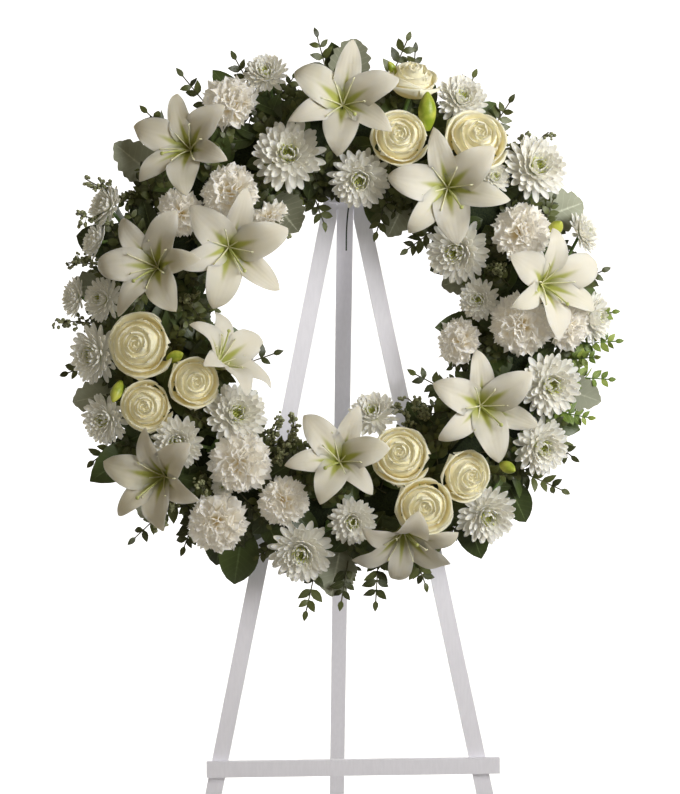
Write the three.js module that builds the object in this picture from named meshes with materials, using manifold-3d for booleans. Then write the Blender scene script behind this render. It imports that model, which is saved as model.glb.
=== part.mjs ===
// A funeral wreath: cut flowers and greenery in a ring of wet floral foam, hung on a folding
// three-legged wooden easel. Millimetres, +Z up, and the flowers face -Y.
//
// The wreath and the two front legs share one plane that leans back. Inside that leaning frame
// x runs to the right, z up the slope and y away from the viewer, and the origin is the middle
// of the ring on the front face of the legs. A place on the ring is given by
//   clock  degrees clockwise from the top, seen from the front
//   out    outwards from the ring's middle circle, inwards when negative
//   lift   in front of the legs
// and the way a flower head faces by
//   lean   degrees that it tips away from facing straight forwards
//   toward the clock angle that it tips towards
//   spin   the clock angle that its first petal points to
import * as THREE from "three";
import { mergeVertices } from "three/addons/utils/BufferGeometryUtils.js";
import Module from "manifold-3d";

const wasm = await Module();
wasm.setup();

// ---------- driving dimensions ----------

const LEAN = 10;
const GAP = 0.5; // between pieces that touch

const RING_RADIUS = 226;
const RING_HEIGHT = 1042; // middle of the ring above the floor, measured up the slope
const RING_STEPS = 36;
const TRAY_HALF = 41;
const TRAY_WALL = 2;
const TRAY_LIP = 12;
const FOAM_HALF = 38.4;
const FOAM_SHOULDER = 28;
const FOAM_FRONT = 50;
const CORE_LIFT = 26; // the circle inside the foam that the stems aim at
const BED_THICKNESS = 6;
const BED_SECTORS = 5;

const EASEL_SHIFT = 10.5; // the wreath hangs a little to the left of the easel's middle
const LEG_WIDTH = 20;
const LEG_DEPTH = 12;
const LEG_SPLAY = 11.7;
const LEG_TOP = 180;
const BAR_HEIGHT = -543.5; // middle of the crossbar, up the slope from the ring's middle
const BAR_LENGTH = 360;
const BAR_SHIFT = 5;
const BAR_WIDTH = 19.5;
const BAR_DEPTH = 9;
const LEG_SPREAD = 160.3; // middle of each front leg from the centre line, at the crossbar
const BOLT_HEIGHT = 145;
const BOLT_RADIUS = 3;
const BOLT_REACH = 32; // clears the outer faces of the front legs
const REAR_SWING = 27; // degrees between the rear leg and the front legs, stood open
const REAR_HEAD = 34; // rear leg above the bolt
const PLATE_WIDTH = 40;
const PLATE_DEPTH = 7;
const PLATE_LOW = 150;
const PLATE_HIGH = 182;
const PEG_RADIUS = 3;
const PEG_TILT = 20;
const PEG_FOOT = 172.5;
const PEG_LENGTH = 33;

const STEM_SIDES = 4;
const STEM_START = 12; // from the core circle to a stem's cut end
const FORK_REACH = 44; // from the core circle to where a spray branches

// ---------- materials ----------

function paint(color, roughness, metalness = 0) {
  return new THREE.MeshStandardMaterial({ color, roughness, metalness });
}

const finishes = {
  wood: paint(0xd9d8de, 0.5),
  steel: paint(0x9a9a9c, 0.35, 0.9),
  foam: paint(0x2f5a35, 0.95),
  tray: paint(0x1f3b26, 0.5),
  wire: paint(0x16241a, 0.5),
  lily: paint(0xeae6d8, 0.5),
  rose: paint(0xefe8c4, 0.6),
  carnation: paint(0xf1ede0, 0.75),
  mum: paint(0xf3f3ee, 0.6),
  greenery: paint(0x3a5230, 0.6),
};

// ---------- helpers ----------

const UP = new THREE.Vector3(0, 0, 1);
const FRONT = new THREE.Vector3(0, -1, 0);
const radians = THREE.MathUtils.degToRad;

function vec(x, y, z) {
  return new THREE.Vector3(x, y, z);
}

// A closed three.js geometry as a manifold-3d solid.
function solidOf(geometry, matrix = new THREE.Matrix4()) {
  const bare = new THREE.BufferGeometry();
  const flat = geometry.index ? geometry.toNonIndexed() : geometry.clone();
  bare.setAttribute("position", flat.getAttribute("position"));
  bare.applyMatrix4(matrix);
  const merged = mergeVertices(bare, 1e-3);
  const build = (triVerts) =>
    new wasm.Manifold(
      new wasm.Mesh({ numProp: 3, vertProperties: merged.attributes.position.array, triVerts }),
    );
  const triangles = new Uint32Array(merged.index.array);
  const made = build(triangles);
  return made.volume() < 0 ? build(triangles.reverse()) : made;
}

// A manifold-3d solid as a three.js geometry.
function geometryOf(solid) {
  const { numProp, numVert, vertProperties, triVerts } = solid.getMesh();
  const points = new Float32Array(numVert * 3);
  for (let i = 0; i < numVert; i++) points.set(vertProperties.subarray(i * numProp, i * numProp + 3), i * 3);
  const geometry = new THREE.BufferGeometry();
  geometry.setAttribute("position", new THREE.BufferAttribute(points, 3));
  geometry.setIndex(new THREE.BufferAttribute(triVerts, 1));
  return geometry;
}

// Joins solids into one.
function join(solids) {
  return solids.reduce((whole, piece) => whole.add(piece));
}

// The largest of the bodies that a cut has left.
function mainBody(solid) {
  return solid.decompose().sort((a, b) => b.volume() - a.volume())[0];
}

function box(lowest, highest) {
  const size = highest.clone().sub(lowest);
  const middle = lowest.clone().add(highest).multiplyScalar(0.5);
  return solidOf(new THREE.BoxGeometry(...size).translate(...middle));
}

// A round bar between two points, and past them at both ends.
function rod(from, to, radius, sides, past = 0) {
  const along = to.clone().sub(from);
  const geometry = new THREE.CylinderGeometry(radius, radius, along.length() + 2 * past, sides);
  const turn = new THREE.Quaternion().setFromUnitVectors(vec(0, 1, 0), along.clone().normalize());
  geometry.applyQuaternion(turn).translate(...from.clone().add(to).multiplyScalar(0.5));
  return solidOf(geometry);
}

// A ring's solid from its section, given as [radius, depth] points round the y axis.
function ringOf(section, steps = RING_STEPS) {
  const points = [...section, section[0]].map(([radius, depth]) => new THREE.Vector2(radius, depth));
  return solidOf(new THREE.LatheGeometry(points, steps));
}

// A closed skin over a stack of rings of points, with a single point at each end.
function skin(start, rings, end) {
  const around = rings[0].length;
  const points = [start, ...rings.flat(), end];
  const at = (ring, i) => 1 + ring * around + (i % around);
  const faces = [];
  for (let i = 0; i < around; i++) {
    faces.push(0, at(0, i + 1), at(0, i));
    for (let ring = 0; ring + 1 < rings.length; ring++) {
      faces.push(at(ring, i), at(ring, i + 1), at(ring + 1, i + 1));
      faces.push(at(ring, i), at(ring + 1, i + 1), at(ring + 1, i));
    }
    faces.push(points.length - 1, at(rings.length - 1, i), at(rings.length - 1, i + 1));
  }
  const geometry = new THREE.BufferGeometry().setFromPoints(points);
  geometry.setIndex(faces);
  return geometry;
}

// A petal or leaf along a path: pointed at both ends, thickest at the midrib, and with its edges
// raised by cup times its half width.
function blade(path, halfWidths, across, thickness, cup = 0) {
  const rings = halfWidths.map((half, i) => {
    const along = path[i + 2].clone().sub(path[i]).normalize();
    const side = across.clone().addScaledVector(along, -across.dot(along)).normalize();
    const up = along.clone().cross(side);
    const at = (sideways, upwards) =>
      path[i + 1].clone().addScaledVector(side, sideways).addScaledVector(up, upwards);
    return [
      at(half, cup * half),
      at(0, thickness / 2),
      at(-half, cup * half),
      at(0, -thickness / 2),
    ];
  });
  return skin(path[0], rings, path[path.length - 1]);
}

// A flower head's solid of revolution, from the bottom up as [radius, height, ruffle] rings, where
// ruffle pulls every other point in. Grow fattens it all round.
function bloom(rings, sides, { bottom, top, scale, grow }) {
  const lift = (ring) => (ring === 0 ? -grow : ring === rings.length - 1 ? grow : 0);
  const skinRings = rings.map(([radius, height, ruffle = 0], ring) =>
    Array.from({ length: sides }, (_, i) => {
      const angle = (2 * Math.PI * i) / sides;
      const reach = (radius - ((i + ring) % 2) * ruffle) * scale + grow;
      return vec(reach * Math.cos(angle), reach * Math.sin(angle), height * scale + lift(ring));
    }),
  );
  return solidOf(skin(vec(0, 0, bottom - grow), skinRings, vec(0, 0, top * scale + grow)));
}

// ---------- places on the ring ----------

// The direction outwards from the ring's middle at a clock angle.
function outward(clock) {
  return vec(Math.sin(radians(clock)), 0, Math.cos(radians(clock)));
}

function place(clock, out, lift) {
  return outward(clock).multiplyScalar(RING_RADIUS + out).addScaledVector(FRONT, lift);
}

// The way a head faces.
function facing({ lean, toward }) {
  return FRONT.clone()
    .multiplyScalar(Math.cos(radians(lean)))
    .addScaledVector(outward(toward), Math.sin(radians(lean)));
}

// ---------- flower heads, each about z with the stem joint at the origin ----------

// Six petals in a trumpet: two whorls of three, reflexed at the tips.
function lilyHead(size, grow) {
  const scale = size / 69;
  const petals = [0, 1, 2, 3, 4, 5].map((i) => {
    const inner = i % 2;
    const away = vec(Math.cos(radians(60 * i)), Math.sin(radians(60 * i)), 0);
    const at = (reach, height) => away.clone().multiplyScalar(reach * scale).add(vec(0, 0, height * scale));
    const path = [at(2, 7), at(19, 27 + inner), at(43, 42 + inner), at(69, 34)];
    path[3].addScaledVector(path[3].clone().sub(path[2]).normalize(), 5 * grow);
    const halfWidths = [10.5, 17 - inner].map((half) => half * scale + grow);
    return solidOf(blade(path, halfWidths, vec(-away.y, away.x, 0), 3 + 2 * grow, 0.12));
  });
  const cup = bloom([[3, 1], [8, 13]], 6, { bottom: -2, top: 17, scale, grow });
  return join([cup, ...petals]);
}

// A half-open rose: calyx, swelling cup with a lobed rim, and a shallow rolled middle.
function roseHead(size, grow) {
  const rings = [[20, 8], [33, 26, 1.5], [32, 39, 3], [15, 47, 1]];
  return bloom(rings, 10, { bottom: -2, top: 44, scale: size / 33, grow });
}

// A long calyx under a fringed dome.
function carnationHead(size, grow) {
  const rings = [[8, 17], [37, 27, 3], [33, 38, 3], [18, 48, 2]];
  return bloom(rings, 10, { bottom: -2, top: 50, scale: size / 37, grow });
}

// A cushion of petal tips round a low green eye.
function mumHead(size, grow) {
  const rings = [[8, 1], [40, 13, 6], [28, 24, 4]];
  return bloom(rings, 12, { bottom: -2, top: 22, scale: size / 40, grow });
}

const heads = {
  lily: { build: lilyHead, fullSize: 69, middle: 28, stem: 2.8 },
  rose: { build: roseHead, fullSize: 33, middle: 28, stem: 2.6 },
  carnation: { build: carnationHead, fullSize: 37, middle: 34, stem: 2.2 },
  mum: { build: mumHead, fullSize: 40, middle: 16, stem: 2.0 },
};

// ---------- the flowers: clock, out, lift, lean, toward, spin, size of each head ----------

const lilies = {
  lily_top: [[1, 34, 106, 10, 0, 5, 69]],
  lily_upper_left: [[319, 52, 88, 25, 300, -8, 63]],
  lily_left: [[287, 6, 106, 22, 290, -36, 66]],
  lily_inner_left: [[304, -70, 96, 12, 140, 12, 70]],
  lily_inner_low_left: [[253, -83, 80, 55, 50, 10, 62]],
  lily_lower_left: [[230, 59, 88, 30, 260, -8, 64]],
  lily_bottom: [[181, -65, 98, 18, 350, 20, 62]],
  lily_bottom_outer: [[164, 45, 80, 50, 178, 60, 66]],
  lily_lower_right: [[121, -30, 106, 8, 100, -8, 66]],
  lily_right: [[80, 25, 108, 28, 95, 0, 66]],
  lily_upper_right: [[39, -24, 106, 8, 220, -15, 70]],
};

const roses = {
  rose_top: [[17, 81, 72, 55, 8, 0, 31]],
  rose_upper_right_inner: [[18, 3, 104, 8, 0, 0, 34]],
  rose_upper_right_outer: [[37, 46, 96, 22, 30, 0, 38]],
  rose_left: [[264, 12, 98, 15, 270, 0, 38]],
  rose_left_inner: [[248, -40, 102, 15, 90, 0, 30]],
  rose_left_low: [[247, 24, 90, 10, 240, 0, 31]],
  rose_bottom_inner: [[156, -54, 94, 15, 330, 0, 35]],
  rose_bottom_outer: [[156, 14, 104, 5, 180, 0, 34]],
  rose_bottom_right: [[141, 10, 96, 25, 110, 0, 32]],
};

const carnations = {
  carnation_top_left: [[334, 73, 72, 25, 334, 0, 37]],
  carnation_left_high: [[320, -22, 98, 10, 320, 0, 37]],
  carnation_left_shaded: [[305, 6, 80, 10, 300, 0, 32]],
  carnation_left_inner: [[326, -85, 60, 35, 146, 0, 30]],
  carnation_right_high: [[64, 17, 100, 10, 60, 0, 38]],
  carnation_right: [[91, -12, 98, 10, 270, 0, 40]],
  carnation_right_inner: [[99, -86, 64, 35, 279, 0, 30]],
  carnation_right_outer: [[91, 49, 88, 20, 90, 0, 32]],
  carnation_low_left: [[216, -24, 96, 8, 36, 0, 40]],
  carnation_bottom_left: [[212, 58, 80, 18, 212, 0, 40]],
  carnation_bottom: [[198, -1, 88, 8, 198, 0, 33]],
};

const mums = {
  mum_top_inner: [[343, -18, 94, 8, 343, 0, 43]],
  mum_top_middle: [[8, -55, 82, 22, 188, 0, 37]],
  mum_top_outer: [[344, 87, 62, 30, 344, 0, 28]],
  mum_spray_upper_right: [
    [29, 81, 70, 25, 29, 0, 33],
    [47, 27, 84, 20, 60, 0, 22],
    [52, 75, 78, 20, 52, 0, 40],
  ],
  mum_spray_right_inner: [
    [59, -63, 72, 30, 239, 0, 40],
    [81, -58, 76, 25, 261, 0, 26],
  ],
  mum_spray_right_outer: [
    [89, 84, 62, 50, 89, 0, 32],
    [70, 93, 50, 55, 70, 0, 26],
  ],
  mum_spray_lower_right: [
    [107, 36, 92, 12, 107, 0, 39],
    [122, 58, 78, 20, 122, 0, 36],
    [143, 66, 70, 25, 143, 0, 38],
  ],
  mum_inner_bottom: [[160, -112, 58, 38, 340, 0, 31]],
  mum_spray_bottom: [
    [177, 11, 92, 10, 177, 0, 29],
    [190, 53, 78, 20, 190, 0, 39],
  ],
  mum_spray_lower_left: [
    [234, 14, 92, 10, 234, 0, 32],
    [229, -62, 84, 18, 49, 0, 38],
    [216, 15, 74, 10, 216, 0, 14],
  ],
  mum_spray_left_low: [
    [248, 79, 68, 32, 248, 0, 31],
    [263, 72, 68, 40, 263, 0, 36],
  ],
  mum_spray_left: [
    [276, 60, 66, 38, 276, 0, 28],
    [276, 96, 44, 65, 276, 0, 25],
  ],
  mum_spray_left_high: [
    [297, 90, 52, 55, 297, 0, 27],
    [289, 86, 42, 65, 289, 0, 24],
  ],
};

// A stem of flowers: every head on its own pedicel, all rooted at one place in the foam. With
// grow above zero it is the same flower a little fatter, which is what its neighbours are cut by.
function flower(kind, list, grow) {
  const { build, fullSize, middle, stem } = heads[kind];
  const radius = stem + grow;
  const spots = list.map(([clock, out, lift, lean, toward, spin, size]) => {
    const face = facing({ lean, toward });
    const joint = place(clock, out, lift).addScaledVector(face, (-middle * size) / fullSize);
    return { clock, face, spin, size, joint };
  });
  const rootClock = spots.reduce((sum, { clock }) => sum + clock, 0) / spots.length;
  const core = place(rootClock, 0, CORE_LIFT);
  const centre = spots.reduce((sum, { joint }) => sum.add(joint), vec(0, 0, 0)).divideScalar(spots.length);
  const aim = centre.sub(core).normalize();
  const root = core.clone().addScaledVector(aim, STEM_START);
  const fork = spots.length > 1 ? core.clone().addScaledVector(aim, FORK_REACH) : root;
  const solids = spots.map(({ face, spin, size, joint }) => {
    const side = outward(spin);
    side.addScaledVector(face, -side.dot(face)).normalize();
    const turn = new THREE.Matrix4().makeBasis(side, face.clone().cross(side), face).setPosition(joint);
    const head = build(size, grow).transform(turn.elements);
    const neck = joint.clone().addScaledVector(face, 2);
    return head.add(rod(fork, neck, radius, STEM_SIDES, grow));
  });
  if (spots.length > 1) {
    const past = fork.clone().addScaledVector(aim, 1);
    solids.push(rod(root, past, radius + 0.4, STEM_SIDES, grow));
  }
  return join(solids);
}

// ---------- the greenery: clock, out and lift of each tip, length and half width ----------

const leafTips = {
  outer_leaf: [
    [334, 118, 44, 50, 15], [318, 112, 40, 50, 15], [309, 125, 42, 60, 21], [289, 115, 36, 55, 21],
    [254, 109, 38, 55, 20], [238, 129, 44, 70, 24], [207, 108, 34, 60, 22], [202, 120, 40, 70, 25],
    [182, 104, 42, 62, 24], [149, 109, 42, 58, 20], [137, 113, 40, 62, 19], [114, 96, 36, 52, 17],
    [107, 107, 46, 55, 20], [64, 108, 46, 62, 22], [36, 110, 42, 55, 17], [5, 122, 44, 60, 22],
    [359, 121, 36, 60, 16], [346, 114, 38, 55, 16], [84, 100, 36, 50, 18], [226, 108, 30, 60, 20],
    [270, 100, 30, 52, 18], [164, 100, 30, 56, 20], [20, 100, 30, 55, 19], [52, 100, 30, 55, 19],
  ],
  inner_leaf: [
    [338, -112, 52, 66, 22], [93, -115, 38, 62, 17], [139, -100, 34, 52, 18], [266, -109, 40, 60, 19],
    [20, -100, 34, 52, 17], [185, -104, 30, 52, 17], [230, -100, 30, 50, 16], [300, -104, 30, 52, 17],
    [60, -100, 30, 50, 17], [115, -100, 34, 50, 16],
  ],
};

const sprigTips = [
  [328, 131, 48], [300, 127, 46], [271, 118, 42], [260, 108, 36], [224, 136, 44], [215, 104, 40],
  [187, 127, 50], [173, 115, 50], [162, 108, 36], [127, 114, 44], [120, 102, 36], [103, 112, 50],
  [95, 114, 54], [79, 102, 44], [48, 121, 44], [38, 116, 40], [29, 117, 40], [14, 130, 52],
  [356, 124, 44], [339, 119, 40], [283, 110, 40], [241, 116, 34],
  [23, -108, 40], [43, -106, 44], [124, -119, 44], [245, -145, 60], [205, -96, 66], [146, -108, 56],
];

// A leaf lying out from the bed, with its tip at the given place.
function leaf([clock, out, lift, length, half]) {
  const side = Math.sign(out);
  const rise = (lift - CORE_LIFT) * 0.5;
  const base = place(clock, out - side * length, lift - rise);
  base.lerp(place(clock, side * (TRAY_HALF + 2), CORE_LIFT + 3), 0.5);
  const tip = place(clock, out, lift);
  const anchor = place(clock, side * (TRAY_HALF + 2), CORE_LIFT + 2);
  const across = outward(clock + 90);
  const bend = FRONT.clone().multiplyScalar(5);
  const path = [
    anchor,
    base.clone().lerp(tip, 0.3).add(bend),
    base.clone().lerp(tip, 0.68).add(bend),
    tip,
  ];
  return solidOf(blade(path, [half, half * 0.85], across, 2.4));
}

// A twig with a leaf at its tip, which is at the given place, and one to each side.
function sprig([clock, out, lift]) {
  const anchor = place(clock, Math.sign(out) * (TRAY_HALF + 2), CORE_LIFT + 3);
  const tip = place(clock, out, lift);
  const at = (share) => anchor.clone().lerp(tip, share);
  const along = tip.clone().sub(anchor).normalize();
  const twig = blade([anchor, at(0.3), at(0.85), tip], [2, 5.5], outward(clock + 90), 2.4);
  const leaves = [[0.5, 50], [0.66, -50]].map(([share, turn]) => {
    const way = along.clone().applyAxisAngle(FRONT, radians(turn));
    const end = at(share).addScaledVector(way, 20);
    const middle = at(share).lerp(end, 0.5).addScaledVector(FRONT, 1.5);
    return blade([at(share), middle, end], [5.5], way.clone().cross(FRONT), 2);
  });
  return join([twig, ...leaves].map((piece) => solidOf(piece)));
}

// The coat of short greens that hides the foam, standing off it all round.
function bedRing() {
  const inner = [
    [-FOAM_HALF - GAP - 0.7, -TRAY_LIP - 1.5],
    [-FOAM_HALF - GAP - 0.7, -FOAM_SHOULDER - 0.6],
    [-19.5, -FOAM_FRONT - 1.4],
    [19.5, -FOAM_FRONT - 1.4],
    [FOAM_HALF + GAP + 0.7, -FOAM_SHOULDER - 0.6],
    [FOAM_HALF + GAP + 0.7, -TRAY_LIP - 1.5],
  ];
  const thick = BED_THICKNESS;
  const outer = [
    [FOAM_HALF + thick, -TRAY_LIP - 1.5],
    [FOAM_HALF + thick, -FOAM_SHOULDER - 3],
    [22, -FOAM_FRONT - thick - 1.5],
    [-22, -FOAM_FRONT - thick - 1.5],
    [-FOAM_HALF - thick, -FOAM_SHOULDER - 3],
    [-FOAM_HALF - thick, -TRAY_LIP - 1.5],
  ];
  return ringOf([...inner, ...outer].map(([out, depth]) => [RING_RADIUS + out, depth]));
}

// The part of space between two clock angles.
function wedge(from, to) {
  const reach = 500;
  const shape = new THREE.Shape([new THREE.Vector2(0, 0)]);
  for (let i = 0; i <= 4; i++) {
    const way = outward(from + ((to - from) * i) / 4);
    shape.lineTo(way.x * reach, way.z * reach);
  }
  const geometry = new THREE.ExtrudeGeometry(shape, { depth: 300, bevelEnabled: false });
  return solidOf(geometry.rotateX(Math.PI / 2).translate(0, 20, 0));
}

// Whether a clock angle lies between two others, going clockwise.
function within(clock, from, to) {
  const turn = (((clock - from) % 360) + 360) % 360;
  return turn < to - from;
}

function greenerySector(i, bed, cutters) {
  const span = 360 / BED_SECTORS;
  const [from, to] = [span * i - span / 2, span * (i + 1) - span / 2];
  const mine = ([clock]) => within(clock, from, to);
  const leaves = [...leafTips.outer_leaf, ...leafTips.inner_leaf].filter(mine).map(leaf);
  const sprigs = sprigTips.filter(mine).map(sprig);
  let solid = join([bed.intersect(wedge(from + 0.15, to - 0.15)), ...leaves, ...sprigs]);
  for (const cutter of cutters) solid = solid.subtract(cutter);
  return mainBody(solid);
}

// ---------- the ring's foam, tray and hanging wire ----------

function foamRing(cutters) {
  const section = [
    [-FOAM_HALF, -TRAY_WALL - 2 * GAP],
    [-FOAM_HALF, -FOAM_SHOULDER],
    [-19, -FOAM_FRONT],
    [19, -FOAM_FRONT],
    [FOAM_HALF, -FOAM_SHOULDER],
    [FOAM_HALF, -TRAY_WALL - 2 * GAP],
  ];
  let foam = ringOf(section.map(([out, depth]) => [RING_RADIUS + out, depth]));
  for (const cutter of cutters) foam = foam.subtract(cutter);
  return foam;
}

function trayRing() {
  const inside = TRAY_HALF - TRAY_WALL;
  const section = [
    [-TRAY_HALF, -GAP],
    [TRAY_HALF, -GAP],
    [TRAY_HALF, -TRAY_LIP],
    [inside, -TRAY_LIP],
    [inside, -GAP - TRAY_WALL],
    [-inside, -GAP - TRAY_WALL],
    [-inside, -TRAY_LIP],
    [-TRAY_HALF, -TRAY_LIP],
  ];
  return ringOf(section.map(([out, depth]) => [RING_RADIUS + out, depth]));
}

// A green wire looped over the peg, its tail hanging down in front of the rear leg.
function tieWire(radius) {
  const path = new THREE.CatmullRomCurve3([
    vec(-4.8, -10, 168),
    vec(-4.8, -10, 176),
    vec(-3.2, -10, 180.4),
    vec(0, -10, 181.9),
    vec(3.2, -10, 180.4),
    vec(4.8, -10, 176),
    vec(4.2, -9.6, 150),
    vec(2.4, -5, 132),
    vec(1.2, -2.4, 114),
    vec(0.8, -2.4, 91),
  ]);
  const round = new THREE.Shape();
  for (let i = 0; i < 6; i++) {
    const point = [radius * Math.cos((i * Math.PI) / 3), radius * Math.sin((i * Math.PI) / 3)];
    if (i) round.lineTo(...point);
    else round.moveTo(...point);
  }
  return solidOf(new THREE.ExtrudeGeometry(round, { steps: 16, extrudePath: path }));
}

// ---------- the easel ----------

// The floor, as a block to cut the feet with.
function floorBlock() {
  const block = new THREE.BoxGeometry(3000, 3000, 300).translate(0, 0, -150);
  return solidOf(block.rotateX(radians(LEAN)).translate(0, 0, -RING_HEIGHT));
}

function boltHole(radius) {
  const y = LEG_DEPTH / 2;
  return rod(vec(-60, y, BOLT_HEIGHT), vec(60, y, BOLT_HEIGHT), radius, 10);
}

// A front leg, splayed to its side, mitred against the rear leg and cut flat on the floor.
function frontLeg(side) {
  const middle = -430;
  const spread = LEG_SPREAD + (BAR_HEIGHT - middle) * Math.tan(radians(LEG_SPLAY));
  const bar = new THREE.BoxGeometry(LEG_WIDTH, LEG_DEPTH, 1320)
    .rotateY(radians(-side * LEG_SPLAY))
    .translate(side * spread, LEG_DEPTH / 2, middle);
  const inside = side > 0 ? [-200, LEG_WIDTH / 2 + GAP] : [-LEG_WIDTH / 2 - GAP, 200];
  return solidOf(bar)
    .subtract(box(vec(inside[0], -50, 60), vec(inside[1], 50, 400)))
    .subtract(box(vec(-200, -50, LEG_TOP), vec(200, 50, 400)))
    .subtract(floorBlock())
    .subtract(boltHole(BOLT_RADIUS + 0.4));
}

// The rear leg, stood open: its bevelled head rests against the back of the head plate.
function rearLeg() {
  const length = 1300;
  const bar = new THREE.BoxGeometry(LEG_WIDTH, LEG_DEPTH, length)
    .translate(0, 0, REAR_HEAD - length / 2)
    .rotateX(radians(REAR_SWING))
    .translate(0, LEG_DEPTH / 2, BOLT_HEIGHT);
  return solidOf(bar)
    .subtract(box(vec(-50, -60, 0), vec(50, 0.3, 400)))
    .subtract(floorBlock())
    .subtract(boltHole(BOLT_RADIUS + 0.4));
}

function crossbar() {
  const [half, tall] = [BAR_LENGTH / 2, BAR_WIDTH / 2];
  return box(
    vec(BAR_SHIFT - half, -BAR_DEPTH - 0.3, BAR_HEIGHT - tall),
    vec(BAR_SHIFT + half, -0.3, BAR_HEIGHT + tall),
  );
}

// The head plate ties the two front legs together and carries the peg.
function headPlate() {
  const half = PLATE_WIDTH / 2;
  const plate = box(vec(-half, -PLATE_DEPTH - 0.3, PLATE_LOW), vec(half, -0.3, PLATE_HIGH));
  return plate.subtract(pegRod(PEG_RADIUS + 0.4, 6));
}

function pegRod(radius, past = 0) {
  const along = vec(0, -Math.cos(radians(PEG_TILT)), Math.sin(radians(PEG_TILT)));
  const foot = vec(0, -0.8, PEG_FOOT);
  return rod(foot, foot.clone().addScaledVector(along, PEG_LENGTH), radius, 10, past);
}

// A carriage bolt through all three legs, its domed head on the left.
function hingeBolt() {
  const profile = [
    [0, -BOLT_REACH - 3.6],
    [4.5, -BOLT_REACH - 3],
    [7, -BOLT_REACH],
    [BOLT_RADIUS, -BOLT_REACH],
    [BOLT_RADIUS, BOLT_REACH + 12],
    [0, BOLT_REACH + 12],
  ].map(([radius, along]) => new THREE.Vector2(radius, along));
  const geometry = new THREE.LatheGeometry(profile, 10).rotateZ(-Math.PI / 2);
  return solidOf(geometry.translate(0, LEG_DEPTH / 2, BOLT_HEIGHT));
}

function wingNut() {
  const middle = vec(BOLT_REACH, LEG_DEPTH / 2, BOLT_HEIGHT);
  const hub = rod(middle, middle.clone().add(vec(8, 0, 0)), 6.5, 10);
  const wings = [-1, 1].map((side) => {
    const wing = new THREE.BoxGeometry(12, 3, 12).rotateY(radians(side * 35));
    return solidOf(wing.translate(BOLT_REACH + 8, LEG_DEPTH / 2, BOLT_HEIGHT + side * 10));
  });
  return join([hub, ...wings]).subtract(boltHole(BOLT_RADIUS + 0.4));
}

// ---------- assembly ----------

// Flowers in the order that gives way: each is cut by those before it where they touch.
function arrange() {
  const arranged = [];
  for (const [kind, set] of Object.entries({ rose: roses, lily: lilies, carnation: carnations, mum: mums })) {
    for (const [name, list] of Object.entries(set)) {
      let solid = flower(kind, list, 0);
      for (const other of arranged) {
        if (solid.intersect(other.envelope).volume() > 0) solid = solid.subtract(other.envelope);
      }
      arranged.push({ name, kind, solid: mainBody(solid), envelope: flower(kind, list, 0.4) });
    }
  }
  return arranged;
}

// What belongs to the easel, moved from the ring's middle line to the easel's.
function aside(solid) {
  return solid.translate([EASEL_SHIFT, 0, 0]);
}

const leaning = new THREE.Group();
leaning.rotation.x = radians(-LEAN);

function add(name, solid, finish) {
  const mesh = new THREE.Mesh(geometryOf(solid), finishes[finish]);
  mesh.name = name;
  leaning.add(mesh);
}

const flowers = arrange();
const cutters = flowers.map(({ envelope }) => envelope);
const bed = bedRing();

add("easel_left_leg", aside(frontLeg(-1)), "wood");
add("easel_right_leg", aside(frontLeg(1)), "wood");
add("easel_rear_leg", aside(rearLeg()), "wood");
add("easel_crossbar", aside(crossbar()), "wood");
add("easel_head_plate", aside(headPlate()), "wood");
add("hanging_peg", aside(pegRod(PEG_RADIUS)), "steel");
add("hinge_bolt", aside(hingeBolt()), "steel");
add("hinge_wing_nut", aside(wingNut()), "steel");
add("foam_tray", trayRing(), "tray");
add("foam_ring", foamRing(cutters), "foam");
add("tie_wire", aside(tieWire(1)), "wire");
for (const { name, kind, solid } of flowers) add(name, solid, kind);
cutters.push(aside(pegRod(PEG_RADIUS + GAP, GAP)), aside(tieWire(1 + GAP)));
for (let i = 0; i < BED_SECTORS; i++) {
  add(`greenery_${i + 1}`, greenerySector(i, bed, cutters), "greenery");
}

// The origin is on the floor, under the middle of the whole object.
const wreath = new THREE.Group();
wreath.add(leaning);
wreath.updateMatrixWorld(true);
const extent = new THREE.Box3().setFromObject(wreath, true);
const centre = extent.getCenter(vec(0, 0, 0));
leaning.position.set(-centre.x, -centre.y, RING_HEIGHT * Math.cos(radians(LEAN)));

export default wreath;
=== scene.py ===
"""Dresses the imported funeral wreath: lilies, roses, carnations, chrysanthemums and mixed greens in a
ring of wet foam, on a white folding easel.

Everything on the ring is placed in the wreath's own leaning frame, as the part's source does: a clock
angle in degrees clockwise from the top, millimetres outwards from the ring's middle circle, and
millimetres of lift in front of the easel's legs.
"""

import math

import bpy
import numpy as np
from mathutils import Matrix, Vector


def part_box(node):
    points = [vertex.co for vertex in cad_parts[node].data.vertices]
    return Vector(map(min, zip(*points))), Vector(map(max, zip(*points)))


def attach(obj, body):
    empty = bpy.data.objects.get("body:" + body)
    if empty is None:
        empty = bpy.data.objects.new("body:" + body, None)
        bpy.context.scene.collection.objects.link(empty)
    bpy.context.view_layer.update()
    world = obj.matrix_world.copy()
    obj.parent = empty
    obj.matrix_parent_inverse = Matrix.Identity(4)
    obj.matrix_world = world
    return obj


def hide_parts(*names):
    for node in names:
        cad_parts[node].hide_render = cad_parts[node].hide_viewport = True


bl_info = {
    "name": "Funeral wreath on an easel",
    "version": (1, 0, 0),
    "blender": (4, 5, 0),
    "location": "View3D > Sidebar > Wreath",
    "description": "Makes a white flower wreath round its foam ring, with its easel and a plain studio",
    "category": "Add Mesh",
}

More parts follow.
